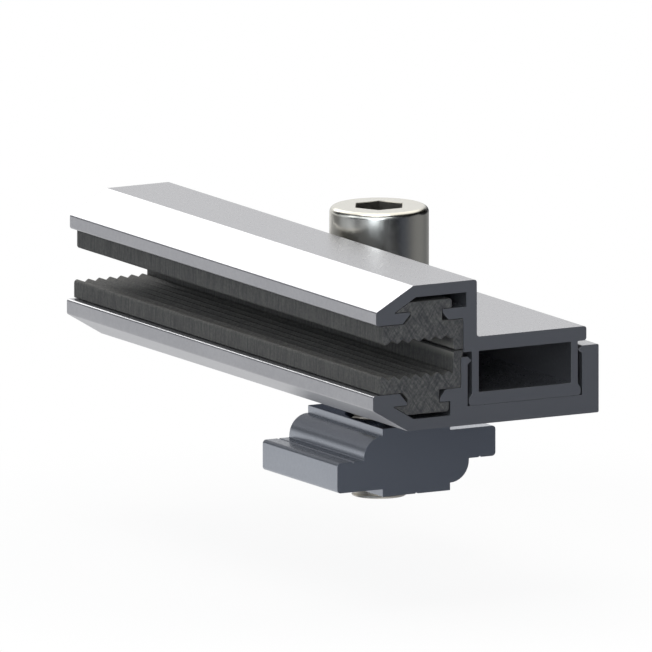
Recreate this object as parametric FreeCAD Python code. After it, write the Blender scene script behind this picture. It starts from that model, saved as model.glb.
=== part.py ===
import FreeCAD, Part
import math
import os

# Clamp for the edge of a frameless solar module. Two aluminium extrusions slide into
# each other: the lower one is a channel that sits on the rail, the upper one a box tube
# that snaps into it. Each ends in a nose with a slot for a serrated rubber pad. One cap
# screw goes down through both into a nut that hangs in the rail's own slot.
#
# Sizes in millimetres. X runs from the glass to the back, Y along the extrusions, and
# Z up from the face that sits on the rail. The screw's axis is X = Y = 0.

LENGTH = 82.0               # both extrusions and both pads

# Cap screw, M8 x 30, and the split lock ring under its head
SCREW_D = 8.0
SCREW_LENGTH = 30.25        # 30 nominal; the standard allows 0.42 more
SCREW_HEAD_D = 13.0
SCREW_HEAD_H = 8.0
HEAD_EDGE_R = 0.8
HEX_ACROSS_FLATS = 6.0
HEX_DEPTH = 4.0
HEX_LEAD = 0.3              # bevel round the mouth of the socket
DRILL_ANGLE = 118.0         # cone at the foot of the socket
TIP_BEVEL = 0.45
RING_CLEAR = 0.05           # ring on the shank, all round
RING_T = 2.2                # 2.0 once it is pressed quite flat
RING_WIDTH = 2.3            # from its bore to its rim
RING_SPLIT = 0.8
RING_SPLIT_ANGLE = 25.0

# Lower extrusion, the base
BASE_FLOOR = 2.5            # floor of the channel
BACK_WALL = 2.46
FRONT_WALL = 0.95           # thin wall behind the pads
SCREW_HOLE_D = 9.0

# Upper extrusion, the sliding jaw
SCREW_TO_WEB = 8.25
WEB = 2.0
FLANGE = 1.9
FLANGE_OVERHANG = 1.29      # past the tube, over the back wall
TUBE_WIDTH = 15.78
TUBE_SIDE = 1.0
TUBE_BOTTOM = 1.7
TUBE_CAVITY_H = 5.47

# How the two extrusions fit together
SEAT_GAP = 0.03             # tube on the channel's floor, closed
SIDE_GAP = 0.66             # tube to each channel wall
HOOK_GAP = 0.09             # hook at each wall's top to the tube
FOOT_GAP = 0.23             # flared foot of the tube to each wall
LEDGE_GAP = 0.64            # top of the walls to the flange, closed
WEB_SET_BACK = 0.33         # front of the web behind the front of the thin wall
HOOK_TIP_DROP = 0.53        # tip of the hook below the wall's top
HOOK_H = 1.02
FOOT_H = 1.55
FOOT_FLARE_H = 0.6          # slope from the tube's side out to the foot's full width

# Noses and the slots in them
FRONT_LIP = 5.1             # front of the nose to the slot's mouth
SLOT_MOUTH = 4.9
SLOT_H = 1.93
UPPER_BACK_LIP = 1.5        # mouth to the stop face of the pads
LOWER_BACK_LIP = 1.95
LOWER_UNDERCUT = 1.55       # back of the slot behind its mouth
UPPER_LIP = 1.45
LOWER_LIP = 1.6
UPPER_SKIN = 1.55           # roof, bevel and web round the slot
LOWER_SKIN = 1.5            # floor under the slot
LOWER_BEVEL_SKIN = 1.75
UPPER_NOSE_H = 1.8
LOWER_NOSE_H = 1.95
UPPER_BEVEL_ANGLE = 29.4
LOWER_BEVEL_ANGLE = 30.8
FRONT_LEAD = 1.1            # bevelled mouth of the slot, at the front
BACK_LEAD = 0.85
LEAD_LAND = 0.25            # straight part of the lip above the bevel

# Rubber pads
CLOSED_MOUTH = 4.1          # between the teeth, for the thinnest module
UPPER_PAD_T = 2.6
LOWER_PAD_T = 2.42
PAD_SET_BACK = 1.04         # behind the front of the nose
PAD_GAP = 0.05
NECK_GAP = 0.08
HEAD_T = 1.28
HEAD_UNDERCUT = 1.35
NECK_FLARE = 0.8
TOOTH_PITCH = 1.61
TOOTH_DEPTH = 0.58
FIRST_TOOTH = 0.56          # its tip from the front of the pad
LEG_T = 1.22                # lower pad's leg in front of the thin wall
CAP_T = 0.92                # rubber on top of the thin wall
LEG_GAP = 0.1               # between the two legs, closed
WEB_GAP = 0.1               # lower pad's cap to the web that slides past it

# Slot nut, a Z-shaped extrusion cut to length
NUT_LENGTH = 20.0
NUT_WIDTH = 23.6
NUT_H = 9.0
NUT_PAD_WIDTH = 10.06
NUT_STEP = 1.0
NUT_WING_T = 4.0
NUT_ROUND_R = 2.8           # quarter-round from the pad to the lower wing
TIP_PROUD = 1.65            # screw's tip below the nut, as it comes
NUT_GROOVE = 0.4            # marking grooves
NUT_GROOVE_INSET = 2.35     # from the wing's end
THREAD_GAP = 0.05           # nut's bore to the screw, where the threads mesh
COUNTERSINK = 0.45

# Small roundings of the sections
EDGE_R = 0.1
NOSE_EDGE_R = 0.35          # along the upper front edge of both noses
CORNER_R = 0.4
NUT_CORNER_R = 0.5
RUBBER_R = 0.45
TOOTH_TIP_R = 0.3
TOOTH_ROOT_R = 0.12

# Places along X, worked out from the web towards the glass
WEB_BACK_X = -SCREW_TO_WEB
WEB_FRONT_X = WEB_BACK_X - WEB
FRONT_WALL_X = WEB_FRONT_X - WEB_SET_BACK
CHANNEL_FRONT_X = FRONT_WALL_X + FRONT_WALL
TUBE_FRONT_X = CHANNEL_FRONT_X + SIDE_GAP
TUBE_BACK_X = TUBE_FRONT_X + TUBE_WIDTH
FLANGE_END_X = TUBE_BACK_X + FLANGE_OVERHANG
CHANNEL_BACK_X = TUBE_BACK_X + SIDE_GAP
BASE_BACK_X = CHANNEL_BACK_X + BACK_WALL
STOP_X = FRONT_WALL_X - LEG_T
UPPER_FRONT_X = STOP_X - UPPER_BACK_LIP - SLOT_MOUTH - FRONT_LIP
LOWER_FRONT_X = STOP_X - LOWER_BACK_LIP - SLOT_MOUTH - FRONT_LIP

# Heights, worked out from the rail's face up
TUBE_FOOT_Z = BASE_FLOOR + SEAT_GAP
CAVITY_FLOOR_Z = TUBE_FOOT_Z + TUBE_BOTTOM
FLANGE_UNDER_Z = CAVITY_FLOOR_Z + TUBE_CAVITY_H
FLANGE_TOP_Z = FLANGE_UNDER_Z + FLANGE
WALL_TOP_Z = FLANGE_UNDER_Z - LEDGE_GAP
LOWER_FACE_Z = LOWER_SKIN + SLOT_H + LOWER_LIP
LOWER_TEETH_Z = LOWER_FACE_Z + PAD_GAP + LOWER_PAD_T
UPPER_TEETH_Z = LOWER_TEETH_Z + CLOSED_MOUTH
UPPER_FACE_Z = UPPER_TEETH_Z + UPPER_PAD_T + PAD_GAP
UPPER_TOP_Z = UPPER_FACE_Z + UPPER_LIP + SLOT_H + UPPER_SKIN
LOWER_LEG_TOP_Z = WALL_TOP_Z + PAD_GAP + CAP_T
HEAD_SEAT_Z = FLANGE_TOP_Z + RING_T
NUT_MID_Z = HEAD_SEAT_Z - SCREW_LENGTH + TIP_PROUD + NUT_H / 2


def at(x, z, y=0.0):
    return FreeCAD.Vector(x, y, z)


def rounded_wire(corners):
    """Closed outline in the XZ plane. A corner is (x, z) or (x, z, radius), and two
    rounded corners that don't both fit on the side between them share it."""
    points = [at(c[0], c[1]) for c in corners]
    count = len(points)
    sides = [points[(i + 1) % count] - points[i] for i in range(count)]
    halves = [sides[i].getAngle(-sides[i - 1]) / 2 for i in range(count)]
    reaches = [c[2] / math.tan(half) if len(c) == 3 else 0.0
               for c, half in zip(corners, halves)]
    shares = []
    for i in range(count):
        wanted = reaches[i] + reaches[(i + 1) % count]
        shares.append(min(1.0, 0.98 * sides[i].Length / max(wanted, 1e-6)))
    stretches = []
    for i in range(count):
        reach = reaches[i] * min(shares[i - 1], shares[i])
        if reach < 0.005:
            stretches.append((points[i], None, points[i]))
            continue
        back = (points[i - 1] - points[i]).normalize()
        ahead = (points[(i + 1) % count] - points[i]).normalize()
        inward = (back + ahead).normalize()
        bulge = reach / math.cos(halves[i]) - reach * math.tan(halves[i])
        stretches.append((points[i] + back * reach, points[i] + inward * bulge,
                          points[i] + ahead * reach))
    edges = []
    for i, (start, middle, end) in enumerate(stretches):
        if middle:
            edges.append(Part.Arc(start, middle, end).toShape())
        edges.append(Part.makeLine(end, stretches[(i + 1) % count][0]))
    return Part.Wire(edges)


def extrude(wires, length):
    """Push a section along Y, half its length each way."""
    face = Part.makeFace(wires, "Part::FaceMakerBullseye")
    face.translate(at(0, 0, -length / 2))
    return face.extrude(at(0, 0, length))


def upright_hole(diameter, low, high):
    return Part.makeCylinder(diameter / 2, high - low, at(0, low))


def bevel_run(height, angle):
    return height / math.tan(math.radians(angle))


def slot_corners(face, up, front, lip, nose_h, angle, bevel_skin, back_x):
    """A nose's lips and slot, from the back lip round to the front one. up is 1 where
    the metal lies above the rubber and -1 where it lies below."""
    mouth_front = front + FRONT_LIP
    mouth_back = mouth_front + SLOT_MOUTH
    skin = bevel_skin / math.cos(math.radians(angle))
    tip_x = front + bevel_run(lip - nose_h + skin, angle)
    top_x = front + bevel_run(lip + SLOT_H - nose_h + skin, angle)
    depths = [
        (mouth_back + BACK_LEAD, 0.0, EDGE_R),
        (mouth_back, lip - 2 * LEAD_LAND, CORNER_R),
        (mouth_back, lip, EDGE_R),
        (back_x, lip),
        (back_x, lip + SLOT_H),
        (top_x, lip + SLOT_H),
        (tip_x, lip, EDGE_R),
        (mouth_front, lip, EDGE_R),
        (mouth_front, lip - LEAD_LAND, EDGE_R),
        (mouth_front - FRONT_LEAD, 0.0, EDGE_R),
    ]
    return [(d[0], face + up * d[1]) + d[2:] for d in depths]


def lower_profile():
    run = bevel_run(LOWER_FACE_Z - LOWER_NOSE_H, LOWER_BEVEL_ANGLE)
    undercut_x = LOWER_FRONT_X + FRONT_LIP + SLOT_MOUTH + LOWER_UNDERCUT
    hook = SIDE_GAP - HOOK_GAP
    outline = [
        (LOWER_FRONT_X, LOWER_FACE_Z, NOSE_EDGE_R),
        (LOWER_FRONT_X, LOWER_FACE_Z - LOWER_NOSE_H, CORNER_R),
        (LOWER_FRONT_X + run, 0.0, EDGE_R),
        (BASE_BACK_X, 0.0, CORNER_R / 2),
        (BASE_BACK_X, WALL_TOP_Z, CORNER_R / 2),
        (CHANNEL_BACK_X, WALL_TOP_Z, EDGE_R),
        (CHANNEL_BACK_X - hook, WALL_TOP_Z - HOOK_TIP_DROP, EDGE_R),
        (CHANNEL_BACK_X, WALL_TOP_Z - HOOK_H, EDGE_R),
        (CHANNEL_BACK_X, BASE_FLOOR, EDGE_R),
        (CHANNEL_FRONT_X, BASE_FLOOR, EDGE_R),
        (CHANNEL_FRONT_X, WALL_TOP_Z - HOOK_H, EDGE_R),
        (CHANNEL_FRONT_X + hook, WALL_TOP_Z - HOOK_TIP_DROP, EDGE_R),
        (CHANNEL_FRONT_X, WALL_TOP_Z, EDGE_R),
        (FRONT_WALL_X, WALL_TOP_Z, EDGE_R),
        (FRONT_WALL_X, LOWER_FACE_Z, EDGE_R),
    ]
    outline += slot_corners(LOWER_FACE_Z, -1, LOWER_FRONT_X, LOWER_LIP, LOWER_NOSE_H,
                            LOWER_BEVEL_ANGLE, LOWER_BEVEL_SKIN, undercut_x)
    body = extrude([rounded_wire(outline)], LENGTH)
    return body.cut(upright_hole(SCREW_HOLE_D, -1.0, BASE_FLOOR + 1.0))


def upper_profile():
    run = bevel_run(UPPER_TOP_Z - UPPER_FACE_Z - UPPER_NOSE_H, UPPER_BEVEL_ANGLE)
    flare = SIDE_GAP - FOOT_GAP
    foot_top = TUBE_FOOT_Z + FOOT_H
    outline = [
        (UPPER_FRONT_X, UPPER_FACE_Z, CORNER_R),
        (UPPER_FRONT_X, UPPER_FACE_Z + UPPER_NOSE_H, NOSE_EDGE_R),
        (UPPER_FRONT_X + run, UPPER_TOP_Z, EDGE_R),
        (WEB_BACK_X, UPPER_TOP_Z, CORNER_R),
        (WEB_BACK_X, FLANGE_TOP_Z, CORNER_R),
        (FLANGE_END_X, FLANGE_TOP_Z, CORNER_R),
        (FLANGE_END_X, FLANGE_UNDER_Z, CORNER_R),
        (TUBE_BACK_X, FLANGE_UNDER_Z, EDGE_R),
        (TUBE_BACK_X, foot_top, CORNER_R),
        (TUBE_BACK_X + flare, foot_top - FOOT_FLARE_H, CORNER_R),
        (TUBE_BACK_X + flare, TUBE_FOOT_Z, CORNER_R),
        (TUBE_FRONT_X - flare, TUBE_FOOT_Z, CORNER_R),
        (TUBE_FRONT_X - flare, foot_top - FOOT_FLARE_H, CORNER_R),
        (TUBE_FRONT_X, foot_top, CORNER_R),
        (TUBE_FRONT_X, FLANGE_UNDER_Z, EDGE_R),
        (WEB_FRONT_X, FLANGE_UNDER_Z, EDGE_R),
        (WEB_FRONT_X, UPPER_FACE_Z, EDGE_R),
    ]
    outline += slot_corners(UPPER_FACE_Z, 1, UPPER_FRONT_X, UPPER_LIP, UPPER_NOSE_H,
                            UPPER_BEVEL_ANGLE, UPPER_SKIN, WEB_BACK_X - UPPER_SKIN)
    cavity_front = TUBE_FRONT_X + TUBE_SIDE
    cavity_back = TUBE_BACK_X - TUBE_SIDE
    cavity = [
        (cavity_front, CAVITY_FLOOR_Z, EDGE_R),
        (cavity_back, CAVITY_FLOOR_Z, EDGE_R),
        (cavity_back, FLANGE_UNDER_Z, EDGE_R),
        (cavity_front, FLANGE_UNDER_Z, EDGE_R),
    ]
    body = extrude([rounded_wire(outline), rounded_wire(cavity)], LENGTH)
    hole = upright_hole(SCREW_HOLE_D, TUBE_FOOT_Z - 1.0, FLANGE_TOP_Z + 1.0)
    return body.cut(hole)


def tooth_corners(front, crest, up):
    """Serrations from the front of a pad to its stop face, as a rounded zigzag."""
    half = TOOTH_PITCH / 2
    corners = []
    x = front + FIRST_TOOTH
    on_crest = True
    while x < STOP_X - 0.2 * half:
        if on_crest:
            corners.append((x, crest, TOOTH_TIP_R))
        else:
            corners.append((x, crest + up * TOOTH_DEPTH, TOOTH_ROOT_R))
        x += half
        on_crest = not on_crest
    share = (STOP_X - (x - half)) / half
    depth = TOOTH_DEPTH * (1 - share if on_crest else share)
    corners.append((STOP_X, crest + up * depth, EDGE_R))
    return corners


def pad_corners(face, up, front, lip, nose_h, angle, bevel_skin, thickness):
    """A pad from its T-shaped head round the front and along the teeth."""
    mouth_front = front + FRONT_LIP
    mouth_back = mouth_front + SLOT_MOUTH
    wing = face - up * PAD_GAP
    seat = face + up * (lip + PAD_GAP)
    top = seat + up * HEAD_T
    skin = (bevel_skin + PAD_GAP) / math.cos(math.radians(angle))
    tip_x = front + bevel_run(lip + PAD_GAP - nose_h + skin, angle)
    top_x = front + bevel_run(lip + PAD_GAP + HEAD_T - nose_h + skin, angle)
    neck_front = mouth_front + NECK_GAP
    neck_back = mouth_back - NECK_GAP
    pad_front = front + PAD_SET_BACK
    crest = face - up * (PAD_GAP + thickness)
    corners = [
        (neck_back, wing, EDGE_R),
        (neck_back, seat, EDGE_R),
        (mouth_back + HEAD_UNDERCUT, seat, EDGE_R),
        (mouth_back + HEAD_UNDERCUT, top, CORNER_R),
        (top_x, top, EDGE_R),
        (tip_x, seat, EDGE_R),
        (neck_front, seat, EDGE_R),
        (neck_front, face + up * NECK_FLARE, CORNER_R),
        (neck_front - NECK_FLARE, wing, EDGE_R),
        (pad_front, wing, RUBBER_R / 2),
        (pad_front, crest, RUBBER_R),
    ]
    return corners + tooth_corners(pad_front, crest, up)


def lower_pad():
    """The lower pad's leg runs up the thin wall and caps it."""
    cap_x = WEB_FRONT_X - WEB_GAP
    wall_x = FRONT_WALL_X - PAD_GAP
    outline = pad_corners(LOWER_FACE_Z, -1, LOWER_FRONT_X, LOWER_LIP, LOWER_NOSE_H,
                          LOWER_BEVEL_ANGLE, LOWER_BEVEL_SKIN, LOWER_PAD_T)
    outline += [
        (STOP_X, LOWER_LEG_TOP_Z, RUBBER_R),
        (cap_x, LOWER_LEG_TOP_Z, EDGE_R),
        (cap_x, WALL_TOP_Z + PAD_GAP),
        (wall_x, WALL_TOP_Z + PAD_GAP),
        (wall_x, LOWER_FACE_Z + PAD_GAP),
    ]
    return extrude([rounded_wire(outline)], LENGTH)


def upper_pad():
    """The upper pad's leg hangs down the web to the lower one."""
    leg_foot = LOWER_LEG_TOP_Z + LEG_GAP
    web_x = WEB_FRONT_X - PAD_GAP
    outline = pad_corners(UPPER_FACE_Z, 1, UPPER_FRONT_X, UPPER_LIP, UPPER_NOSE_H,
                          UPPER_BEVEL_ANGLE, UPPER_SKIN, UPPER_PAD_T)
    outline += [
        (STOP_X, leg_foot, RUBBER_R),
        (web_x, leg_foot, EDGE_R),
        (web_x, UPPER_FACE_Z - PAD_GAP),
    ]
    return extrude([rounded_wire(outline)], LENGTH)


def hexagon_prism(across_flats, low, high):
    """Hexagonal prism with two of its edges on the X axis."""
    radius = across_flats / math.sqrt(3)
    points = [FreeCAD.Vector(radius * math.cos(math.radians(60 * i)),
                             radius * math.sin(math.radians(60 * i)), low)
              for i in range(7)]
    return Part.Face(Part.makePolygon(points)).extrude(at(0, high - low))


def cap_screw():
    """Turned blank of the screw, less its socket. Its thread stands at full diameter."""
    radius = SCREW_D / 2
    head_r = SCREW_HEAD_D / 2
    top = HEAD_SEAT_Z + SCREW_HEAD_H
    tip = HEAD_SEAT_Z - SCREW_LENGTH
    half = [
        (0.0, tip),
        (radius - TIP_BEVEL, tip),
        (radius, tip + TIP_BEVEL),
        (radius, HEAD_SEAT_Z),
        (head_r - EDGE_R, HEAD_SEAT_Z),
        (head_r, HEAD_SEAT_Z + EDGE_R),
        (head_r, top, HEAD_EDGE_R),
        (0.0, top),
    ]
    blank = Part.Face(rounded_wire(half)).revolve(at(0, 0), at(0, 1), 360)
    floor = top - HEX_DEPTH
    corner_r = HEX_ACROSS_FLATS / math.sqrt(3)
    lead = Part.makeCone(corner_r, corner_r + HEX_LEAD, HEX_LEAD, at(0, top - HEX_LEAD))
    drill_r = HEX_ACROSS_FLATS / 2
    cone_h = drill_r / math.tan(math.radians(DRILL_ANGLE / 2))
    cone = Part.makeCone(0, drill_r, cone_h, at(0, floor - cone_h))
    socket = hexagon_prism(HEX_ACROSS_FLATS, floor, top + 1.0)
    return blank.cut(socket).cut(lead).cut(cone)


def lock_ring():
    """Flattened spring ring of square section, with its slanted split at the back."""
    bore_r = SCREW_D / 2 + RING_CLEAR
    disc = Part.makeCylinder(bore_r + RING_WIDTH, RING_T, at(0, FLANGE_TOP_Z))
    ring = disc.cut(upright_hole(2 * bore_r, FLANGE_TOP_Z - 1.0, HEAD_SEAT_Z + 1.0))
    reach = bore_r + RING_WIDTH + 1.0
    split = Part.makeBox(reach, RING_SPLIT, 3 * RING_T,
                         at(0, -1.5 * RING_T, -RING_SPLIT / 2))
    split.rotate(at(0, 0), FreeCAD.Vector(1, 0, 0), RING_SPLIT_ANGLE)
    split.translate(at(0, FLANGE_TOP_Z + RING_T / 2))
    return ring.cut(split)


def slot_nut():
    """Z-shaped section, the same when turned half round about its middle."""
    pad_x = NUT_PAD_WIDTH / 2
    end_x = NUT_WIDTH / 2
    wing_top = NUT_H / 2 - NUT_STEP
    wing_foot = wing_top - NUT_WING_T
    groove = NUT_GROOVE / 2
    groove_x = end_x - NUT_GROOVE_INSET
    right = [
        (groove, NUT_H / 2),
        (pad_x, NUT_H / 2, EDGE_R),
        (pad_x, wing_top, EDGE_R),
        (end_x, wing_top, NUT_CORNER_R),
        (end_x, wing_foot, NUT_CORNER_R),
        (groove_x + groove, wing_foot),
        (groove_x, wing_foot + groove),
        (groove_x - groove, wing_foot),
        (pad_x + NUT_ROUND_R, wing_foot, EDGE_R),
        (pad_x + NUT_ROUND_R, NUT_STEP - NUT_H / 2, NUT_ROUND_R),
        (pad_x, NUT_STEP - NUT_H / 2),
        (pad_x, -NUT_H / 2, EDGE_R),
        (groove, -NUT_H / 2),
        (0.0, groove - NUT_H / 2),
    ]
    left = [(-c[0], -c[1]) + c[2:] for c in right]
    section = rounded_wire(right + left)
    section.translate(at(0, NUT_MID_Z))
    body = extrude([section], NUT_LENGTH)
    bore_r = SCREW_D / 2 + THREAD_GAP
    top = NUT_MID_Z + NUT_H / 2
    foot = NUT_MID_Z - NUT_H / 2
    body = body.cut(upright_hole(2 * bore_r, foot - 1.0, top + 1.0))
    upper_sink = Part.makeCone(bore_r, bore_r + COUNTERSINK, COUNTERSINK,
                               at(0, top - COUNTERSINK))
    lower_sink = Part.makeCone(bore_r + COUNTERSINK, bore_r, COUNTERSINK, at(0, foot))
    return body.cut(upper_sink).cut(lower_sink)


PIECES = {
    "lower_profile": lower_profile,
    "upper_profile": upper_profile,
    "lower_pad": lower_pad,
    "upper_pad": upper_pad,
    "cap_screw": cap_screw,
    "lock_ring": lock_ring,
    "slot_nut": slot_nut,
}

os.makedirs("parts", exist_ok=True)
for name, make in PIECES.items():
    piece = make()
    piece.exportStep("parts/" + name + ".step")
    print(name, "valid", piece.isValid(), "solids", len(piece.Solids),
          "volume", round(piece.Volume, 1))
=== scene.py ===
# %% [markdown]
# # A clamp for the edge of a frameless solar panel
# Two aluminium extrusions slide into each other, each with a strip of serrated rubber
# in its nose. A cap screw goes down through both into a nut in the rail. The packed
# model gives the exact solids, and this lesson gives them their finishes, turns the
# real thread on the screw and moulds the rubber.

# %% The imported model
import math

import bmesh
import bpy
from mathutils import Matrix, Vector, noise


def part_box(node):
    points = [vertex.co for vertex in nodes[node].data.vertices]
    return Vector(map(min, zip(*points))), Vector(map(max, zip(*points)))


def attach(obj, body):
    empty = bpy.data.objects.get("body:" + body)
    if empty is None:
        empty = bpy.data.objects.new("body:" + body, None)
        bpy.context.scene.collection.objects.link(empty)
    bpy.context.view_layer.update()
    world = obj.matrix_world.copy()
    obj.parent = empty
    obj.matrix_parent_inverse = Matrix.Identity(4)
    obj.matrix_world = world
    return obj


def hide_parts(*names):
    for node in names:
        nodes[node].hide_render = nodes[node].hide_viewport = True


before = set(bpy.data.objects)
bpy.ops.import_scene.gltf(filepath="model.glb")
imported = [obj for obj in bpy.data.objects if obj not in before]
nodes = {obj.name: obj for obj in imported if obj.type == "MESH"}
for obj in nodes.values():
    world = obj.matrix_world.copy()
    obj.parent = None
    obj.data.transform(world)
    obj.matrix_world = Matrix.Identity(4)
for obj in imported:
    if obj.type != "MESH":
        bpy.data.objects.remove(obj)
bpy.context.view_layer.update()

MM = 0.001
for node in sorted(nodes):
    low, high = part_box(node)
    print(node, [round((h - l) / MM, 2) for l, h in zip(low, high)], "mm")

# %% [markdown]
# ## Helpers for the materials
# Colours are written as the sRGB hex values that a colour picker shows, and a shader
# works in linear light, so one function turns the one into the other. Another adds a
# node with its settings and its links in one call. The last one measures a pattern in
# millimetres, so that each pattern below can be given its real size. It uses Object
# coordinates: a pattern stays on its piece when the piece moves, and needs no UV map.


# %% Colour, node, material and scale
FIRST_NUMBER, SECOND_NUMBER = 2, 3      # a Mix node's sockets when it mixes numbers,
FIRST_COLOUR, SECOND_COLOUR = 6, 7      # and when it mixes colours
MIXED_COLOUR = 2                        # and where the mixed colour comes out


def linear(hex_colour):
    parts = [int(hex_colour[i:i + 2], 16) / 255 for i in (1, 3, 5)]
    parts = [p / 12.92 if p <= 0.04045 else ((p + 0.055) / 1.055) ** 2.4 for p in parts]
    return parts + [1.0]


def dimmed(colour, share):
    """That share of a linear colour's light."""
    return [share * part for part in colour[:3]] + [1.0]


def add(tree, kind, inputs=None, **settings):
    node = tree.nodes.new("ShaderNode" + kind)
    for name, value in settings.items():
        setattr(node, name, value)
    for socket, value in (inputs or {}).items():
        if isinstance(value, bpy.types.NodeSocket):
            tree.links.new(value, node.inputs[socket])
        else:
            node.inputs[socket].default_value = value
    return node


def new_material(name):
    material = bpy.data.materials.new(name)
    material.use_nodes = True
    tree = material.node_tree
    tree.nodes.clear()
    coordinates = add(tree, "TexCoord")
    return material, tree, coordinates


def stretched(tree, coordinates, size_mm, lean=0.0):
    """Object coordinates in which size_mm, one size for each axis, is one unit. lean
    turns the pattern about Y, in degrees."""
    scale = [1 / (size * MM) for size in size_mm]
    turned_axes = add(tree, "VectorRotate", {"Vector": coordinates.outputs["Object"],
                                             "Angle": math.radians(lean)},
                      rotation_type="Y_AXIS")
    return add(tree, "Mapping", {"Vector": turned_axes.outputs[0], "Scale": scale}).outputs[0]


# %% [markdown]
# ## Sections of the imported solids
# Every long piece is a section pushed straight along Y, so its near end face holds the
# whole shape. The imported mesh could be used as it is, but its long thin triangles take
# no bevel and can't bend. Reading the outline of the end face, and pushing it again
# here, gives the same piece with tidy faces, on which a sawn edge can be broken or
# rubber can be made a little uneven.


# %% Read a section
WELD = 0.001 * MM               # points closer than this are one point


def near_outlines(node):
    """The outlines of a node's near end face, as lists of (x, z), holes after the rim."""
    bm = bmesh.new()
    bm.from_mesh(nodes[node].data)
    bmesh.ops.remove_doubles(bm, verts=bm.verts, dist=WELD)
    near = min(v.co.y for v in bm.verts)
    cap = [f for f in bm.faces if all(abs(v.co.y - near) < WELD for v in f.verts)]
    following = {}
    for face in cap:
        for corner in face.loops:
            if not any(f is not face and f in cap for f in corner.edge.link_faces):
                following[corner.vert] = corner.link_loop_next.vert
    outlines = []
    while following:
        vert, after = following.popitem()
        outline = [(vert.co.x, vert.co.z)]
        while after in following:
            outline.append((after.co.x, after.co.z))
            after = following.pop(after)
        outlines.append(outline)
    bm.free()
    return sorted(outlines, key=len, reverse=True)


for node in ("lower_profile", "upper_profile"):
    print(node, [len(outline) for outline in near_outlines(node)], "points")


# %% Push a section
def into_material(outline):
    """For each point, the way into the material: half way between its sides' own ways."""
    ways = []
    for i, (x, z) in enumerate(outline):
        x0, z0 = outline[i - 1]
        x1, z1 = outline[(i + 1) % len(outline)]
        before = Vector((z0 - z, x - x0)).normalized()
        after = Vector((z - z1, x1 - x)).normalized()
        half = (before + after).normalized()
        ways.append(half / max(half.dot(after), 0.5))
    return ways


def pushed(bm, outline, stations, moved=None):
    """Rings of the outline at each (y, inset), joined by faces. Returns the end rings."""
    ways = into_material(outline)
    rings = []
    for y, inset in stations:
        ring = []
        for (x, z), way in zip(outline, ways):
            depth = inset + (moved(x, y, z) if moved else 0.0)
            ring.append(bm.verts.new((x + way.x * depth, y, z + way.y * depth)))
        rings.append(ring)
    count = len(outline)
    for lower, upper in zip(rings, rings[1:]):
        for i in range(count):
            j = (i + 1) % count
            bm.faces.new((lower[i], upper[i], upper[j], lower[j]))
    return rings[0], rings[-1]


def cap_rings(bm, rings):
    """Fill one flat end, whose rings are its rim and its holes."""
    edges = []
    for ring in rings:
        for i, vert in enumerate(ring):
            edges.append(bm.edges.get((vert, ring[i - 1])))
    bmesh.ops.triangle_fill(bm, use_beauty=True, edges=edges)


# %% [markdown]
# ## Finishing a mesh
# Rounds have to look round and edges crisp, so every face is smooth and each edge over
# 30 degrees is marked sharp. Holes are cut with a Boolean that is applied at once, since
# the materials are given out to the finished faces. A Weighted Normal modifier then
# keeps the large flat faces flat beside the small rounds.


# %% Finish, cut and level
SHARP = math.radians(30)


def finished(name, bm, material):
    """Put a bmesh in the scene as an object with smooth rounds and crisp edges."""
    bmesh.ops.recalc_face_normals(bm, faces=bm.faces)
    mesh = bpy.data.meshes.new(name)
    bm.to_mesh(mesh)
    bm.free()
    mesh.shade_smooth()
    mesh.set_sharp_from_angle(angle=SHARP)
    mesh.materials.append(material)
    piece = bpy.data.objects.new(name, mesh)
    bpy.context.collection.objects.link(piece)
    return piece


def cut(piece, cutter):
    """Take the cutter away from the piece for good."""
    tool = piece.modifiers.new("cut", "BOOLEAN")
    tool.object = cutter
    tool.operation = "DIFFERENCE"
    tool.solver = "EXACT"
    bpy.context.view_layer.update()
    evaluated = piece.evaluated_get(bpy.context.evaluated_depsgraph_get())
    result = bpy.data.meshes.new_from_object(evaluated)
    bm = bmesh.new()
    bm.from_mesh(result)
    bmesh.ops.remove_doubles(bm, verts=bm.verts, dist=WELD)
    bm.to_mesh(result)
    bm.free()
    piece.modifiers.clear()
    piece.data = result
    result.set_sharp_from_angle(angle=SHARP)
    bpy.data.objects.remove(cutter)


def level(piece):
    """Let large faces set the normals of the small rounds beside them."""
    weighted = piece.modifiers.new("level", "WEIGHTED_NORMAL")
    weighted.keep_sharp = True


# %% [markdown]
# ## Aluminium
# The profiles and the nut are EN AW-6063 aluminium, pressed through a die and left as
# they came: satin, a little cloudy, with very fine lines along the length from the die's
# lips. The faces that lie flat are sandier than the upright ones, and a little darker, which is
# painted shade.
# The ends are sawn square, which leaves a duller face with marks across it. Each kind of
# face could have a material of its own, but the surface normal says which way a face
# looks, so one material can hold all three.
#
# The base colour of a metal is the share of the light that comes back from it, and its
# oxide skin scatters a little as well, so Metallic stays just under 1. Where light skims
# a metal, more of it comes back, in the colour of Specular Tint.

# %% Aluminium's patterns
DIE_LINE_MM = 0.22              # drawn about three times as coarse as it is, to show at all
GRAIN_MM = 0.42                 # satin sparkle, coarser than the real grain for that reason
CLOUD_MM = 5.0
SAW_MARK_MM = 0.5
DIE_LINE_LENGTH_MM = 40.0
SAW_MARK_LENGTH_MM = 25.0


def aluminium_patterns(tree, coordinates):
    """Noise for the grain, the clouds, the die's lines and the saw's marks."""
    sizes = (([GRAIN_MM] * 3, 2.0),
             ([CLOUD_MM, 3 * CLOUD_MM, CLOUD_MM], 4.0),
             ([DIE_LINE_MM, DIE_LINE_LENGTH_MM, DIE_LINE_MM], 2.0),
             ([SAW_MARK_MM, SAW_MARK_MM, SAW_MARK_LENGTH_MM], 2.0))
    return [add(tree, "TexNoise", {"Vector": stretched(tree, coordinates, size),
                                   "Scale": 1.0, "Detail": detail}).outputs["Fac"]
            for size, detail in sizes]


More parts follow.
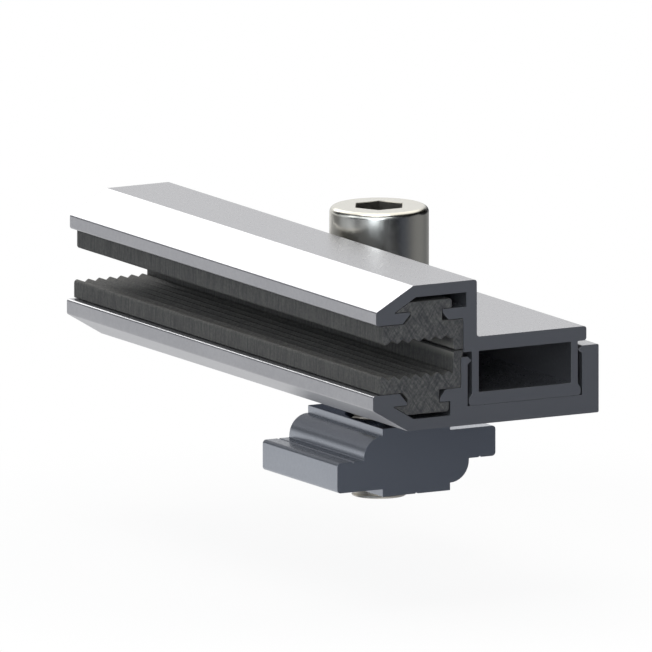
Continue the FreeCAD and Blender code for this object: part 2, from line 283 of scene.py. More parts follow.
def facing(tree, coordinates, axis, blank, full, least=0.0):
    """1 on a face that looks along the axis, either way, and least on one that doesn't.
    blank and full are the cosines between which it rises."""
    normal = add(tree, "SeparateXYZ", {0: coordinates.outputs["Normal"]})
    cosine = add(tree, "Math", {0: normal.outputs[axis]}, operation="ABSOLUTE")
    return add(tree, "MapRange", {"Value": cosine.outputs[0], "From Min": blank,
                                  "From Max": full, "To Min": least}).outputs[0]


# %% Aluminium
FLAT_FACE_PAINTED_SHADE = 0.89              # painted shade on the flat faces: their brightness, as a share of the cloudy skin's
SAWN_FACES = (0.75, 0.95)       # cosines to Y between which a face turns into a sawn end
FLAT_FACES = (0.9, 0.99)        # and cosines to Z between which it turns into a flat one
UPRIGHT_SAND = 0.15             # how sandy the upright faces are, with the flat ones at 1
CLOUDING = (0.65, 1.35)         # grain and cloud summed, at the bright and the cloudy colour
SATIN_ROUGHNESS = 0.28
SANDY_ROUGHNESS = (0.26, 0.32)
SAWN_ROUGHNESS = 0.42
SAND_HEIGHT = 0.5               # beside the lines' height of 1
RELIEF_MM = 0.01
RELIEF_STRENGTH = 0.08
OXIDISED = 0.91                 # Metallic


def make_aluminium(name, bright, cloudy, sawn_shade, grazing="#ffffff"):
    """sawn_shade is the brightness of a sawn end, as a share of the skin's. grazing is the
    colour that light takes on where it skims the surface."""
    material, tree, coordinates = new_material(name)
    grain, cloud, lines, saw = aluminium_patterns(tree, coordinates)
    sawn = facing(tree, coordinates, "Y", *SAWN_FACES)
    flat = facing(tree, coordinates, "Z", *FLAT_FACES, UPRIGHT_SAND)

    mottle = add(tree, "Math", {0: grain, 1: cloud}, operation="ADD")
    clouds = add(tree, "MapRange", {"Value": mottle.outputs[0], "From Min": CLOUDING[0],
                                    "From Max": CLOUDING[1]})
    colour = linear(bright)
    # The flat faces' darker colour is painted shade.
    for factor, other in ((clouds.outputs[0], linear(cloudy)),
                          (flat, dimmed(linear(cloudy), FLAT_FACE_PAINTED_SHADE)),
                          (sawn, dimmed(linear(bright), sawn_shade))):
        colour = add(tree, "Mix", {"Factor": factor, FIRST_COLOUR: colour,
                                   SECOND_COLOUR: other},
                     data_type="RGBA").outputs[MIXED_COLOUR]

    sparkle = add(tree, "MapRange", {"Value": grain, "From Min": 0.3, "From Max": 0.7,
                                     "To Min": SANDY_ROUGHNESS[0],
                                     "To Max": SANDY_ROUGHNESS[1]})
    satin = add(tree, "Mix", {"Factor": flat, FIRST_NUMBER: SATIN_ROUGHNESS,
                              SECOND_NUMBER: sparkle.outputs[0]})
    roughness = add(tree, "Mix", {"Factor": sawn, FIRST_NUMBER: satin.outputs[0],
                                  SECOND_NUMBER: SAWN_ROUGHNESS})
    sand = add(tree, "Math", {0: grain, 1: flat}, operation="MULTIPLY")
    marks = add(tree, "Mix", {"Factor": sawn, FIRST_NUMBER: lines, SECOND_NUMBER: saw})
    relief = add(tree, "Math", {0: sand.outputs[0], 1: SAND_HEIGHT, 2: marks.outputs[0]},
                 operation="MULTIPLY_ADD")
    bump = add(tree, "Bump", {"Height": relief.outputs[0], "Strength": RELIEF_STRENGTH,
                              "Distance": RELIEF_MM * MM})
    shader = add(tree, "BsdfPrincipled", {"Base Color": colour, "Metallic": OXIDISED,
                                          "Specular Tint": linear(grazing),
                                          "Roughness": roughness.outputs[0],
                                          "Normal": bump.outputs[0]})
    add(tree, "OutputMaterial", {"Surface": shader.outputs[0]})
    return material


# %% [markdown]
# ## Three colourings
# The function makes the metal three times: for the profiles; for the nut, a shade darker
# and bluer, which is painted shade from its place under the lower jaw; and for the nut's
# top, much darker and dim also where light skims it, which is painted shade of the narrow
# gap between it and the jaw.

# %% Profiles, nut and its top
aluminium = make_aluminium("mill_finish_aluminium", "#bebec0", "#b0b0b3", 0.78)
# The nut's darker, bluer tone is painted shade.
painted_shade_nut_aluminium = make_aluminium("aluminium_nut_with_painted_shade", "#b6bac1", "#aaaeb5", 0.9)
# The nut's top and upper countersink: a dark colour and dim grazing tint, painted shade of the
# narrow gap under the jaw.
nut_top_painted_shade = make_aluminium("nut_top_aluminium_painted_shade", "#464a55", "#3e424b", 0.9,
                                  grazing="#8a909e")
print(aluminium.name, painted_shade_nut_aluminium.name, nut_top_painted_shade.name)

# %% [markdown]
# ## The two extrusions
# A saw leaves a sharp edge, and a workshop breaks it before anybody handles the piece.
# That bevel is under a hundredth of a millimetre, just enough for the edge to catch the
# light. A Bevel modifier would break the long edges too, which the die leaves as they
# are, so the end rings are simply drawn in. The screw's holes are cut with a turned
# tool shape that breaks their edges as well.

# %% Turned shapes
CIRCLE = 96                     # points round a turned shape, a multiple of six


def turned(bm, profile):
    """Spin a list of (radius, z) round the Z axis. A radius of 0 closes it, and a radius
    may also be a function of the angle."""
    rings = []
    for radius, z in profile:
        if radius == 0.0:
            rings.append([bm.verts.new((0, 0, z))] * CIRCLE)
            continue
        ring = []
        for i in range(CIRCLE):
            angle = 2 * math.pi * i / CIRCLE
            reach = radius(angle) if callable(radius) else radius
            ring.append(bm.verts.new((reach * math.cos(angle), reach * math.sin(angle), z)))
        rings.append(ring)
    for lower, upper in zip(rings, rings[1:]):
        for i in range(CIRCLE):
            j = (i + 1) % CIRCLE
            corners = []
            for vert in (lower[i], lower[j], upper[j], upper[i]):
                if vert not in corners:
                    corners.append(vert)
            bm.faces.new(corners)


# %% Extrusions
FILED_EDGE = 0.006 * MM
HOLE_R = 4.5 * MM
HOLE_DEBURR = 0.2 * MM


def hole_tool(low, high):
    bm = bmesh.new()
    wide = HOLE_R + HOLE_DEBURR
    below, above = low - HOLE_DEBURR, high + HOLE_DEBURR
    turned(bm, [(0.0, below), (wide, below), (HOLE_R, low + HOLE_DEBURR),
                (HOLE_R, high - HOLE_DEBURR), (wide, above), (0.0, above)])
    return finished("hole_tool", bm, aluminium)


def sawn_piece(name, node, material):
    """The node's section, pushed to its own length, with the sawn edges broken."""
    low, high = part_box(node)
    near, far = low[1], high[1]
    stations = [(near, FILED_EDGE), (near + FILED_EDGE, 0.0),
                (far - FILED_EDGE, 0.0), (far, FILED_EDGE)]
    bm = bmesh.new()
    ends = [pushed(bm, outline, stations) for outline in near_outlines(node)]
    cap_rings(bm, [end[0] for end in ends])
    cap_rings(bm, [end[1] for end in ends])
    piece = finished(name, bm, material)
    print(name, len(piece.data.polygons), "faces")
    return piece


EXTRUSIONS = {                  # body, and from where to where the screw goes through, in mm
    "lower_profile": ("lower_jaw", [(0.0, 2.5)]),
    "upper_profile": ("upper_jaw", [(2.53, 4.23), (9.70, 11.60)]),
}
for node, (body, walls) in EXTRUSIONS.items():
    piece = sawn_piece(node + "_extrusion", node, aluminium)
    for low, high in walls:
        cut(piece, hole_tool(low * MM, high * MM))
    level(piece)
    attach(piece, body)
    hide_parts(node)

# %% [markdown]
# ## EPDM rubber
# The pads are black EPDM, the weatherproof rubber of window seals. It is extruded too,
# and cut with a knife. Carbon black makes it dark but not black, and its skin is matt,
# with a faint bloom of filler that the die draws out in streaks. They are drawn coarser
# than they are, to show at all. On a cut end the knife leaves two sets that cross.
#
# The crests of the teeth behind the first one are painted pale: painted light, for the light
# and glints that the crests catch. The height above the mouth's middle says where they are.
# Rubber is no metal: its gloss is the same few per cent as any plastic's, and the
# roughness spreads it wide.

# %% Where the teeth are
TOOTHED_MM = 11.0               # the teeth lie this far in from the front, the legs behind
CREST_LIGHT_DEPTH_MM = 0.9                   # painted light on the crests reaches this deep
CREST_LIGHT_FROM_MM = (0.8, 1.8)       # behind the front: no painted light yet, and painted light in full
front_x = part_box("lower_pad")[0][0]
toothed_x = front_x + TOOTHED_MM * MM
lower_crest = max(z for x, z in near_outlines("lower_pad")[0] if x < toothed_x)
upper_crest = min(z for x, z in near_outlines("upper_pad")[0] if x < toothed_x)
mouth_middle = (lower_crest + upper_crest) / 2
half_mouth = (upper_crest - lower_crest) / 2
print("mouth", round(2 * half_mouth / MM, 2), "mm high")


def crests(tree, coordinates):
    """1 on the crests of the teeth, where light is painted, and 0 on the rest of a pad."""
    place = add(tree, "SeparateXYZ", {0: coordinates.outputs["Object"]})
    height = add(tree, "Math", {0: place.outputs["Z"], 1: mouth_middle}, operation="SUBTRACT")
    away = add(tree, "Math", {0: height.outputs[0]}, operation="ABSOLUTE")
    near_mouth = add(tree, "MapRange", {"Value": away.outputs[0], "From Min": half_mouth,
                                        "From Max": half_mouth + CREST_LIGHT_DEPTH_MM * MM,
                                        "To Min": 1.0, "To Max": 0.0})
    toothed = add(tree, "Math", {0: place.outputs["X"], 1: toothed_x}, operation="LESS_THAN")
    behind = add(tree, "MapRange", {"Value": place.outputs["X"],
                                    "From Min": front_x + CREST_LIGHT_FROM_MM[0] * MM,
                                    "From Max": front_x + CREST_LIGHT_FROM_MM[1] * MM})
    teeth = add(tree, "Math", {0: behind.outputs[0], 1: toothed.outputs[0]},
                operation="MULTIPLY")
    return add(tree, "Math", {0: near_mouth.outputs[0], 1: teeth.outputs[0]},
               operation="MULTIPLY").outputs[0]


# %% Rubber
RUBBER_GRAIN_MM = 0.35
RUBBER_STREAK_MM = 0.32
RUBBER_STREAK_LENGTH_MM = 2.5
BLOOM = (0.55, 1.7)             # the pattern over its usual value, at the dark and pale colour
# Painted light on the crests of the teeth.
CREST_PAINTED_LIGHT = linear("#807d74")
RUBBER_ROUGHNESS = (0.5, 0.75)
RUBBER_RELIEF_MM = 0.03
RUBBER_RELIEF_STRENGTH = 0.4
RUBBER_IOR = 1.5


def make_rubber(name, dark, pale, leans, lit_teeth):
    """leans are the angles of the streaks from upright, in degrees. The last argument says
    whether the crests of the teeth get painted light."""
    material, tree, coordinates = new_material(name)
    grain = add(tree, "TexNoise", {"Vector": stretched(tree, coordinates, [RUBBER_GRAIN_MM] * 3),
                                   "Scale": 1.0, "Detail": 4.0, "Roughness": 0.65})
    pattern = grain.outputs["Fac"]
    streak_mm = [RUBBER_STREAK_MM, RUBBER_STREAK_MM, RUBBER_STREAK_LENGTH_MM]
    for lean in leans:
        streak = add(tree, "TexNoise", {"Vector": stretched(tree, coordinates, streak_mm, lean),
                                        "Scale": 1.0, "Detail": 3.0, "Distortion": 0.6})
        pattern = add(tree, "Math", {0: pattern, 1: streak.outputs["Fac"]},
                      operation="MULTIPLY").outputs[0]
    usual = 0.5 ** (1 + len(leans))     # each noise is about a half
    bloom = add(tree, "MapRange", {"Value": pattern, "From Min": BLOOM[0] * usual,
                                   "From Max": BLOOM[1] * usual})
    colour = add(tree, "Mix", {"Factor": bloom.outputs[0], FIRST_COLOUR: linear(dark),
                               SECOND_COLOUR: linear(pale)},
                 data_type="RGBA").outputs[MIXED_COLOUR]
    # Painted light on the crests.
    if lit_teeth:
        colour = add(tree, "Mix", {"Factor": crests(tree, coordinates), FIRST_COLOUR: colour,
                                   SECOND_COLOUR: CREST_PAINTED_LIGHT},
                     data_type="RGBA").outputs[MIXED_COLOUR]
    rough = add(tree, "MapRange", {"Value": grain.outputs["Fac"],
                                   "To Min": RUBBER_ROUGHNESS[0],
                                   "To Max": RUBBER_ROUGHNESS[1]})
    bump = add(tree, "Bump", {"Height": grain.outputs["Fac"],
                              "Strength": RUBBER_RELIEF_STRENGTH,
                              "Distance": RUBBER_RELIEF_MM * MM})
    shader = add(tree, "BsdfPrincipled", {"Base Color": colour, "Roughness": rough.outputs[0],
                                          "IOR": RUBBER_IOR, "Normal": bump.outputs[0]})
    add(tree, "OutputMaterial", {"Surface": shader.outputs[0]})
    return material


rubber = make_rubber("matt_epdm_rubber", "#3c3b39", "#62605a", [0], True)
cut_rubber = make_rubber("knife_cut_epdm_rubber", "#414040", "#6c6a65", [35, -35], False)
print(rubber.name, cut_rubber.name)

# %% [markdown]
# ## The rubber pads
# Soft rubber never comes out as true as metal: its faces wander by a few hundredths of a
# millimetre along the strip, and a knife rounds the cut over. A Displace modifier would
# move them both ways. Here the strip is pushed in short steps, and a smooth noise draws
# each point a little into the rubber, never out of it, so that the pad still has its
# room in the slot.

# %% Pads
PAD_STEP = 1.0 * MM
KNIFE_ROUND = 0.05 * MM
UNEVEN = 0.03 * MM
UNEVEN_ACROSS_MM = 1.5
UNEVEN_ALONG_MM = 7.0


def unevenness(x, y, z):
    place = Vector((x / UNEVEN_ACROSS_MM, y / UNEVEN_ALONG_MM, z / UNEVEN_ACROSS_MM)) / MM
    return UNEVEN * 0.5 * (1 + noise.noise(place))


for node, body in (("lower_pad", "lower_jaw"), ("upper_pad", "upper_jaw")):
    low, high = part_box(node)
    near, far = low[1] + KNIFE_ROUND, high[1] - KNIFE_ROUND
    steps = round((far - near) / PAD_STEP)
    stations = [(near - KNIFE_ROUND, KNIFE_ROUND)]
    stations += [(near + (far - near) * i / steps, 0.0) for i in range(steps + 1)]
    stations += [(far + KNIFE_ROUND, KNIFE_ROUND)]
    bm = bmesh.new()
    ends = [pushed(bm, outline, stations, unevenness) for outline in near_outlines(node)]
    cap_rings(bm, [end[0] for end in ends])
    cap_rings(bm, [end[1] for end in ends])
    piece = finished(node + "_strip", bm, rubber)
    piece.data.materials.append(cut_rubber)
    for face in piece.data.polygons:
        if abs(face.normal.y) > 0.9:    # the cut ends
            face.material_index = 1
    level(piece)
    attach(piece, body)
    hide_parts(node)
    print(piece.name, len(piece.data.polygons), "faces")

# %% [markdown]
# ## Stainless steel
# The screw is A2 stainless steel, cold-headed in a polished die, so its head is bright
# and nearly smooth, with the warm cast of chromium and nickel. Its thread is rolled and
# its socket punched, which leaves both duller, and the socket's darker colour is painted
# shade of its deep recess. The ring under the head is spring steel, rolled and hardened,
# and duller too. The four differ only in colour, roughness and grain, so one function
# makes them all. A fine noise in the roughness keeps each from looking like a mirror or
# like plastic.

# %% Steel
STAINLESS = linear("#d8d5ca")
SPRING_STEEL = linear("#a8a8a6")
SOCKET_SHADE_COLOUR = linear("#7d7972")
ROLLED_THREAD = linear("#e2ddd3")
STEEL_RELIEF_MM = 0.003
STEEL_RELIEF_STRENGTH = 0.1


def make_steel(name, colour, roughness, spread, grain_mm):
    material, tree, coordinates = new_material(name)
    grain = add(tree, "TexNoise", {"Vector": stretched(tree, coordinates, [grain_mm] * 3),
                                   "Scale": 1.0, "Detail": 3.0})
    rough = add(tree, "MapRange", {"Value": grain.outputs["Fac"], "From Min": 0.3,
                                   "From Max": 0.7, "To Min": roughness - spread,
                                   "To Max": roughness + spread})
    bump = add(tree, "Bump", {"Height": grain.outputs["Fac"],
                              "Strength": STEEL_RELIEF_STRENGTH,
                              "Distance": STEEL_RELIEF_MM * MM})
    shader = add(tree, "BsdfPrincipled", {"Base Color": colour, "Metallic": 1.0,
                                          "Roughness": rough.outputs[0],
                                          "Normal": bump.outputs[0]})
    add(tree, "OutputMaterial", {"Surface": shader.outputs[0]})
    return material


stainless = make_steel("bright_stainless_steel", STAINLESS, 0.24, 0.03, 0.6)
thread_steel = make_steel("rolled_thread_steel", ROLLED_THREAD, 0.4, 0.06, 0.4)
spring_steel = make_steel("spring_steel", SPRING_STEEL, 0.34, 0.06, 0.4)
# The socket's dark colour is painted shade of its recess.
socket_painted_shade_steel = make_steel("painted_shade_in_socket", SOCKET_SHADE_COLOUR, 0.45, 0.08, 0.5)
print(stainless.name, thread_steel.name, spring_steel.name, socket_painted_shade_steel.name)

# %% [markdown]
# ## The screw's thread
# A thread is one profile that climbs as it goes round. A Screw modifier makes one too,
# but its ends then have to be cut to length. Here each column of points round the shank
# holds the same profile, and stands a little higher than the one before, by the pitch
# over the number of columns, so the crest follows the helix exactly. After a full turn
# the profile has climbed one pitch and meets itself. Points beyond an end go to that
# end, which leaves it flat.
#
# The sizes are those of a coarse M8 thread. Both ends are bevelled, and under the head
# the root rises until the thread has run out. THREAD_START turns the whole thread, so
# that the tip has the outline of the real one.

# %% Thread
PITCH = 1.25 * MM
MAJOR_R = 4.0 * MM
MINOR_R = 3.233 * MM
END_R = 3.55 * MM               # both ends are bevelled to this radius
RUN_OUT = 0.5                   # under the head, the root rises to END_R at this slope
THREAD_START = 0.2              # turns by which the thread starts further on
THREAD_WELD = 0.0005 * MM
PROFILE = [(0.0, 1.0), (0.125, 1.0), (0.302, 0.5), (0.455, 0.07), (0.563, 0.0),
           (0.671, 0.07), (0.823, 0.5)]    # share of the pitch, share of the thread's depth


def profile_height(share):
    """The profile's height at any share of the pitch."""
    share %= 1.0
    knots = PROFILE + [(1.0, 1.0)]
    for (before, low_one), (after, high_one) in zip(knots, knots[1:]):
        if share <= after:
            return low_one + (high_one - low_one) * (share - before) / (after - before)
    return 1.0


def thread(bm, low, high, grow=0.0, root_r=0.0):
    """A threaded rod from low to high, open at both ends. grow makes all of it thicker,
    and root_r is the least radius that its root may have."""
    first = math.floor(low / PITCH) - 2
    turns = math.ceil(high / PITCH) + 2 - first
    columns = []
    for i in range(CIRCLE + 1):
        angle = 2 * math.pi * i / CIRCLE
        column = []
        for k in range(turns):
            for share, height in PROFILE:
                z = (first + k + share + i / CIRCLE + THREAD_START) * PITCH
                if not low < z < high:          # beyond an end, so it goes to that end
                    z = min(max(z, low), high)
                    height = profile_height(z / PITCH - i / CIRCLE - THREAD_START)
                radius = MINOR_R + (MAJOR_R - MINOR_R) * height
                radius = max(radius + grow, root_r, END_R - RUN_OUT * (high - z))
                radius = min(radius, END_R + min(z - low, high - z))
                column.append(bm.verts.new((radius * math.cos(angle),
                                            radius * math.sin(angle), z)))
        columns.append(column)
    for one, other in zip(columns, columns[1:]):
        for j in range(len(one) - 1):
            bm.faces.new((one[j], other[j], other[j + 1], one[j + 1]))
    bmesh.ops.remove_doubles(bm, verts=bm.verts, dist=THREAD_WELD)


def fill_ends(bm):
    bmesh.ops.holes_fill(bm, edges=[e for e in bm.edges if e.is_boundary], sides=0)


print("thread", round((MAJOR_R - MINOR_R) / MM, 3), "mm deep,", PITCH / MM, "mm a turn")

# %% [markdown]
# ## The cap screw
# Head and shank are one mesh. The head's half section is spun from the shank's top edge
# out to the rim, over its rounding, and down into the socket, where the radius follows a
# hexagon instead of a circle. A cylinder with a Bevel and a Boolean would give a head
# too, but not one that is joined to the thread point by point. The socket and the thread
# have materials of their own.

# %% The head's half section
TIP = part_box("cap_screw")[0][2]
HEAD_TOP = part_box("cap_screw")[1][2]
HEAD_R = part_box("cap_screw")[1][0]
HEAD_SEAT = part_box("lock_ring")[1][2]
SEAT_BEVEL = 0.1 * MM
RIM_ROUND = 0.8 * MM
RIM_STEPS = 10
SOCKET_RIM_R = 4.0 * MM         # the head's top is round as far in as this
SOCKET_HALF = 3.0 * MM          # half of 6 mm across flats
SOCKET_DEPTH = 4.0 * MM
SOCKET_EDGE = 0.08 * MM         # broken edge round the socket's mouth
DRILL_POINT = 1.7 * MM          # the cone that the drill left under the socket


def hexagon(angle):
    """Reach of the socket's hexagon, with two of its corners on the X axis."""
    return SOCKET_HALF / math.cos(angle % (math.pi / 3) - math.pi / 6)


def head_profile():
    profile = [(END_R, HEAD_SEAT), (HEAD_R - SEAT_BEVEL, HEAD_SEAT),
               (HEAD_R, HEAD_SEAT + SEAT_BEVEL)]
    for i in range(RIM_STEPS + 1):
        turn = math.radians(90 * i / RIM_STEPS)
        profile.append((HEAD_R - RIM_ROUND * (1 - math.cos(turn)),
                        HEAD_TOP - RIM_ROUND * (1 - math.sin(turn))))
    floor = HEAD_TOP - SOCKET_DEPTH
    profile += [(SOCKET_RIM_R, HEAD_TOP),
                (lambda angle: hexagon(angle) + SOCKET_EDGE, HEAD_TOP),
                (hexagon, HEAD_TOP - SOCKET_EDGE), (hexagon, floor),
                (0.95 * SOCKET_HALF, floor), (0.0, floor - DRILL_POINT)]
    return profile


# %% Cap screw
SOCKET_REACH = 3.6 * MM         # a little further out than the hexagon's corners

bm = bmesh.new()
thread(bm, TIP, HEAD_SEAT)
turned(bm, head_profile())
bmesh.ops.remove_doubles(bm, verts=bm.verts, dist=THREAD_WELD)
fill_ends(bm)
screw = finished("threaded_cap_screw", bm, stainless)
screw.data.materials.append(socket_painted_shade_steel)
screw.data.materials.append(thread_steel)
# Faces inside the socket get its painted shade.
for face in screw.data.polygons:
    across = math.hypot(face.center.x, face.center.y)
    if across < SOCKET_REACH and HEAD_SEAT < face.center.z < HEAD_TOP - SOCKET_EDGE:
        face.material_index = 1
    if face.center.z < HEAD_SEAT:
        face.material_index = 2
level(screw)
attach(screw, "screw")
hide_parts("cap_screw")
print("screw", len(screw.data.polygons), "faces")

# %% [markdown]
# ## The lock ring
# A split spring ring is coiled from square wire and sawn off at a slant. A ring with a
# Boolean for the split would do as well. Here its section is carried round from one side
# of the split to the other, and each corner of the section starts and stops where the
# slanted saw cut meets it, which leaves fewer and tidier faces.

# %% Its section
RING_BORE_R = 4.05 * MM
RING_RIM_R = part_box("lock_ring")[1][1]
RING_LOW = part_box("lock_ring")[0][2]
RING_BEVEL = 0.15 * MM

ring_section = []
for radius, z in ((RING_BORE_R, RING_LOW), (RING_RIM_R, RING_LOW),
                  (RING_RIM_R, HEAD_SEAT), (RING_BORE_R, HEAD_SEAT)):
    inward = RING_BEVEL if radius == RING_BORE_R else -RING_BEVEL
    upward = RING_BEVEL if z == RING_LOW else -RING_BEVEL
    bevel = [(radius, z + upward), (radius + inward, z)]
    ring_section += bevel if (radius == RING_BORE_R) == (z == RING_LOW) else bevel[::-1]
print(len(ring_section), "corners")

# %% Lock ring
SPLIT_HALF = 0.44 * MM          # half the width of the split
SPLIT_SLANT = math.tan(math.radians(25))
RING_STEPS = 90

ring_middle = (RING_LOW + HEAD_SEAT) / 2
bm = bmesh.new()
rings = []
for i in range(RING_STEPS + 1):
    ring = []
    for radius, z in ring_section:
        slant = SPLIT_SLANT * (ring_middle - z)
        start = math.asin((slant + SPLIT_HALF) / radius)
        stop = 2 * math.pi + math.asin((slant - SPLIT_HALF) / radius)
        angle = start + (stop - start) * i / RING_STEPS
        ring.append(bm.verts.new((radius * math.cos(angle), radius * math.sin(angle), z)))
    rings.append(ring)
for before, after in zip(rings, rings[1:]):
    for k in range(len(ring_section)):
        bm.faces.new((before[k - 1], before[k], after[k], after[k - 1]))
bm.faces.new(rings[0])
bm.faces.new(rings[-1])
ring = finished("split_lock_ring", bm, spring_steel)
level(ring)
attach(ring, "screw")
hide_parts("lock_ring")
print("lock ring", len(ring.data.polygons), "faces")

# %% [markdown]
# ## The slot nut
# The nut is sawn from an extrusion as well, drilled and tapped. A plain hole would hide
# in most views, but a reader who turns the clamp over looks into it. So the tap is the
# screw's own thread, made a few hundredths larger, so that the two mesh without
# touching, at rest and wherever the screw turns them. A cone at each face opens the
# thread, as a countersink does.

# %% Tap and countersink
TAP_GROWS = 0.05 * MM
TAPPING_DRILL_R = 3.32 * MM
SINK_R = 4.5 * MM
SINK_DEPTH = SINK_R * 0.3       # where the cone ends, inside the thread
SINK_REACH = 0.3 * MM           # how far the tool stands out of the face


def tap(low, high):
    bm = bmesh.new()
    thread(bm, low - MM, high + MM, TAP_GROWS, TAPPING_DRILL_R)
    fill_ends(bm)
    return finished("tap", bm, aluminium)


def sink_tool(face_z, outward):
    """A cone that opens the tapped hole at one face. outward is 1 up and -1 down."""
    inner, outer = face_z - outward * SINK_DEPTH, face_z + outward * SINK_REACH
    bm = bmesh.new()
    turned(bm, [(0.0, inner), (SINK_R - SINK_DEPTH, inner),
                (SINK_R + SINK_REACH, outer), (0.0, outer)])
    return finished("sink_tool", bm, aluminium)


# %% Slot nut
PAINTED_SHADE_SKIN = 0.02 * MM         # faces this near the top take the nut top's painted shade, and so
SINK_SKIN = 1.4 * MM            # is the countersink, down to here

nut = sawn_piece("tapped_slot_nut", "slot_nut", painted_shade_nut_aluminium)
low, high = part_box("slot_nut")
cut(nut, tap(low[2], high[2]))
cut(nut, sink_tool(high[2], 1))
cut(nut, sink_tool(low[2], -1))
nut.data.materials.append(nut_top_painted_shade)
# Faces at the top and in the upper countersink get the painted shade.
for face in nut.data.polygons:
    across = math.hypot(face.center.x, face.center.y)
    under_top = high[2] - face.center.z
    if under_top < PAINTED_SHADE_SKIN or (across < SINK_R and under_top < SINK_SKIN):
        face.material_index = 1
level(nut)
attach(nut, "nut")
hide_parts("slot_nut")
print("nut", len(nut.data.polygons), "faces")

# %% [markdown]
# ## The studio
# The picture is a product shot on white, seen without perspective from a little above
# the near end. A long lens from far away comes close to that, and an orthographic
# camera gives it exactly: parallel edges stay parallel, and its scale is the width of
# the picture in metres.

# %% Camera
AZIMUTH = math.radians(-29.13)
ELEVATION = math.radians(10.25)
PICTURE_WIDTH = 85.0 * MM
CENTRE_RIGHT = -6.92 * MM       # picture's centre from the origin, along its own axes
CENTRE_UP = 5.72 * MM
DISTANCE = 0.4
NEAREST, FURTHEST = 0.001, 5.0  # what lies between these distances shows

right = Vector((math.cos(AZIMUTH), math.sin(AZIMUTH), 0.0))
to_camera = Vector((math.sin(AZIMUTH) * math.cos(ELEVATION),
                    -math.cos(AZIMUTH) * math.cos(ELEVATION), math.sin(ELEVATION)))
up = to_camera.cross(right)
camera = bpy.data.objects.new("camera", bpy.data.cameras.new("camera"))
bpy.context.collection.objects.link(camera)
camera.data.type = "ORTHO"
camera.data.ortho_scale = PICTURE_WIDTH
camera.data.clip_start = NEAREST
camera.data.clip_end = FURTHEST
camera.location = CENTRE_RIGHT * right + CENTRE_UP * up + DISTANCE * to_camera
camera.rotation_euler = (-to_camera).to_track_quat("-Z", "Y").to_euler()
bpy.context.scene.camera = camera
print("camera", [round(c, 4) for c in camera.location])

# %% [markdown]
# ## What the metal sees
# Bare metal looks like what stands around it, so the studio matters as much as the
# material. Behind and above the clamp it is white, as the picture's background is, with
# a ceiling over it and a row of windows on the glass side. On the camera's side it is a
# dark room, and that is what makes the sawn ends slate grey. Black flags take light away
# where the screw's head has its dark bands.
#
# All of that could be built from glowing planes, but those cast shadows and show in
# other views. The world shader instead gives each direction its brightness: a dark room,
# and soft patches that add light to it, or take it away. What the camera sees, directly
# or through glass, is plain white everywhere, and the metal sees that white as the
# backdrop's patch. If it saw white all round, it would look like white paint.

# %% The studio's patches
DARK_ROOM = linear("#3b3e46")
PATCHES = [      # towards, degrees from there to its full and its faded edge, brightness, colour
    ((0.04, 1.0, -0.05), 22, 60, 0.79, "#ffffff"),       # backdrop
    ((-0.08, 0.86, 0.50), 5, 15, 1.7, "#ffffff"),        # strip light above it
    ((-0.42, 0.86, 0.36), 8, 20, -0.7, "#ffffff"),       # black flag beside the strip light
    ((0.68, 0.73, -0.03), 3, 13, -0.8, "#ffffff"),       # black flag to the right of it
    ((0.93, 0.25, 0.28), 14, 30, -0.3, "#ffffff"),       # and two more, further on and above
    ((0.61, -0.35, 0.71), 16, 34, -0.3, "#ffffff"),
    ((0.2, 0.42, 0.89), 30, 46, 1.35, "#fffdf8"),        # ceiling
    ((-0.85, 0.45, 0.14), 6, 20, 0.9, "#eef4fc"),        # a row of windows, from the glass
    ((-0.98, 0.12, 0.45), 6, 18, 2.0, "#eef4fc"),        # side round to the front
    ((-0.85, -0.42, 0.45), 6, 18, 2.0, "#eef4fc"),
    ((-0.50, -0.78, 0.38), 6, 20, 3.2, "#eef4fc"),
    ((-0.10, -0.85, 0.56), 4, 12, 2.0, "#eef4fc"),
    ((-0.60, -0.79, 0.04), 6, 22, 4.4, "#dde8f6"),       # and a low one under them
    ((-0.1, -0.4, -0.9), 12, 40, 1.0, "#ffffff"),        # white table in front
    ((0.2, 0.3, -0.93), 10, 36, 0.25, "#f6f4f0"),        # white floor under the clamp
    ((0.17, -0.97, -0.18), 5, 16, -0.058, "#dfe8ff"),    # black flag beside the table
    ((0.48, -0.86, -0.18), 8, 22, 0.06, "#a6b2d0"),      # grey wall behind the table
    ((0.98, 0.15, -0.1), 10, 72, 0.2, "#ffffff"),        # grey wall on the right
]
print(len(PATCHES), "patches")


# %% World
def for_the_camera(tree):
    """1 for what the camera sees, directly or through glass, and 0 for all other rays."""
    rays = add(tree, "LightPath")
    return add(tree, "Math", {0: rays.outputs["Is Camera Ray"],
                              1: rays.outputs["Is Transmission Ray"]},
               operation="MAXIMUM").outputs[0]


world = bpy.data.worlds.new("studio")
bpy.context.scene.world = world
world.use_nodes = True
tree = world.node_tree
tree.nodes.clear()
direction = add(tree, "TexCoord").outputs["Generated"]
total = Vector(DARK_ROOM[:3])
for towards, inner, outer, brightness, colour in PATCHES:
    aim = Vector(towards).normalized()
    cosine = add(tree, "VectorMath", {0: direction, 1: aim}, operation="DOT_PRODUCT")
    patch = add(tree, "MapRange", {"Value": cosine.outputs["Value"],
                                   "From Min": math.cos(math.radians(outer)),
                                   "From Max": math.cos(math.radians(inner)),
                                   "To Max": brightness}, interpolation_type="SMOOTHERSTEP")
    total = add(tree, "VectorMath", {0: patch.outputs[0], 1: linear(colour)[:3], 2: total},
                operation="MULTIPLY_ADD").outputs[0]
total = add(tree, "VectorMath", {0: total, 1: (0.0, 0.0, 0.0)}, operation="MAXIMUM").outputs[0]
studio = add(tree, "Background", {"Color": total, "Strength": 1.0})
white = add(tree, "Background", {"Color": linear("#ffffff"), "Strength": 1.0})
seen = add(tree, "MixShader", {0: for_the_camera(tree), 1: studio.outputs[0],
                               2: white.outputs[0]})
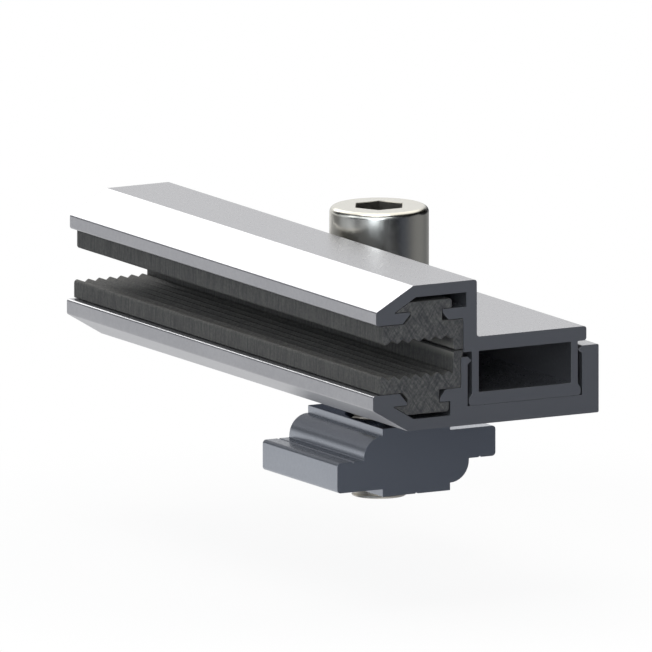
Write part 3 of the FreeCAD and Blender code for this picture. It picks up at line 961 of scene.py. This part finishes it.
add(tree, "OutputWorld", {"Surface": seen.outputs[0]})
print("world", len(tree.nodes), "nodes")

# %% [markdown]
# ## The lamp
# One big softbox hangs above the clamp. It could be one more patch of the world, but a
# lamp close by falls off with distance, reaches into the rubber's mouth and gives the
# floor its soft shadow.

# %% Softbox
SOFTBOX_TOWARDS = (-0.15, -0.1, 1.0)    # from the clamp
SOFTBOX_AWAY = 0.45
SOFTBOX_WIDTH = 0.30
SOFTBOX_WATTS = 0.7

lamp = bpy.data.lights.new("top_softbox", "AREA")
lamp.shape = "DISK"
lamp.size = SOFTBOX_WIDTH
lamp.energy = SOFTBOX_WATTS
holder = bpy.data.objects.new("top_softbox", lamp)
bpy.context.collection.objects.link(holder)
aim = Vector(SOFTBOX_TOWARDS).normalized()
holder.location = SOFTBOX_AWAY * aim
holder.rotation_euler = (-aim).to_track_quat("-Z", "Y").to_euler()
holder.visible_camera = False
print(holder.name, SOFTBOX_WATTS, "W")

# %% [markdown]
# ## The floor
# The background is white to its edges. A shadow catcher would need the render's own
# settings, so the floor is a small pale disc that the camera sees as white, apart from
# the object's own soft shadow, and that fades out before its rim. It doesn't show in the
# metal, which has the studio's table and floor to mirror.

# %% Floor
FLOOR_Z = -24.0 * MM            # below the nut at its lowest
FLOOR_RADIUS = 90.0 * MM
FLOOR_FADES = (0.55, 0.98)      # shares of the radius where it starts to fade and is gone
FLOOR_GREY = linear("#e6e6e6")
FLOOR_GLOW = 0.92               # share of plain white in it, the rest takes the shadow


def floor_material():
    material, tree, coordinates = new_material("pale_floor")
    distance = add(tree, "VectorMath", {0: coordinates.outputs["Object"]}, operation="LENGTH")
    fade = add(tree, "MapRange", {"Value": distance.outputs["Value"],
                                  "From Min": FLOOR_FADES[0] * FLOOR_RADIUS,
                                  "From Max": FLOOR_FADES[1] * FLOOR_RADIUS},
               interpolation_type="SMOOTHSTEP").outputs[0]
    pale = add(tree, "BsdfDiffuse", {"Color": FLOOR_GREY})
    white = add(tree, "Emission", {"Color": linear("#ffffff"), "Strength": 1.0})
    soft = add(tree, "MixShader", {0: FLOOR_GLOW, 1: pale.outputs[0], 2: white.outputs[0]})
    edge = add(tree, "MixShader", {0: fade, 1: soft.outputs[0], 2: white.outputs[0]})
    clear = add(tree, "BsdfTransparent")
    plain = add(tree, "MixShader", {0: fade, 1: pale.outputs[0], 2: clear.outputs[0]})
    seen = add(tree, "MixShader", {0: for_the_camera(tree), 1: plain.outputs[0],
                                   2: edge.outputs[0]})
    add(tree, "OutputMaterial", {"Surface": seen.outputs[0]})
    return material


def make_floor():
    mesh = bpy.data.meshes.new("floor")
    bm = bmesh.new()
    bmesh.ops.create_circle(bm, cap_ends=True, segments=CIRCLE, radius=FLOOR_RADIUS)
    bm.to_mesh(mesh)
    bm.free()
    mesh.materials.append(floor_material())
    floor = bpy.data.objects.new("floor", mesh)
    bpy.context.collection.objects.link(floor)
    floor.location = (0, 0, FLOOR_Z)
    floor.visible_glossy = False
    floor.visible_diffuse = False
    print("floor", 2 * FLOOR_RADIUS / MM, "mm across")
    return floor


make_floor()

# %% [markdown]
# ## Last settings
# The plain Standard view shows a colour as it was written.

# %% Finish
bpy.context.scene.view_settings.view_transform = "Standard"
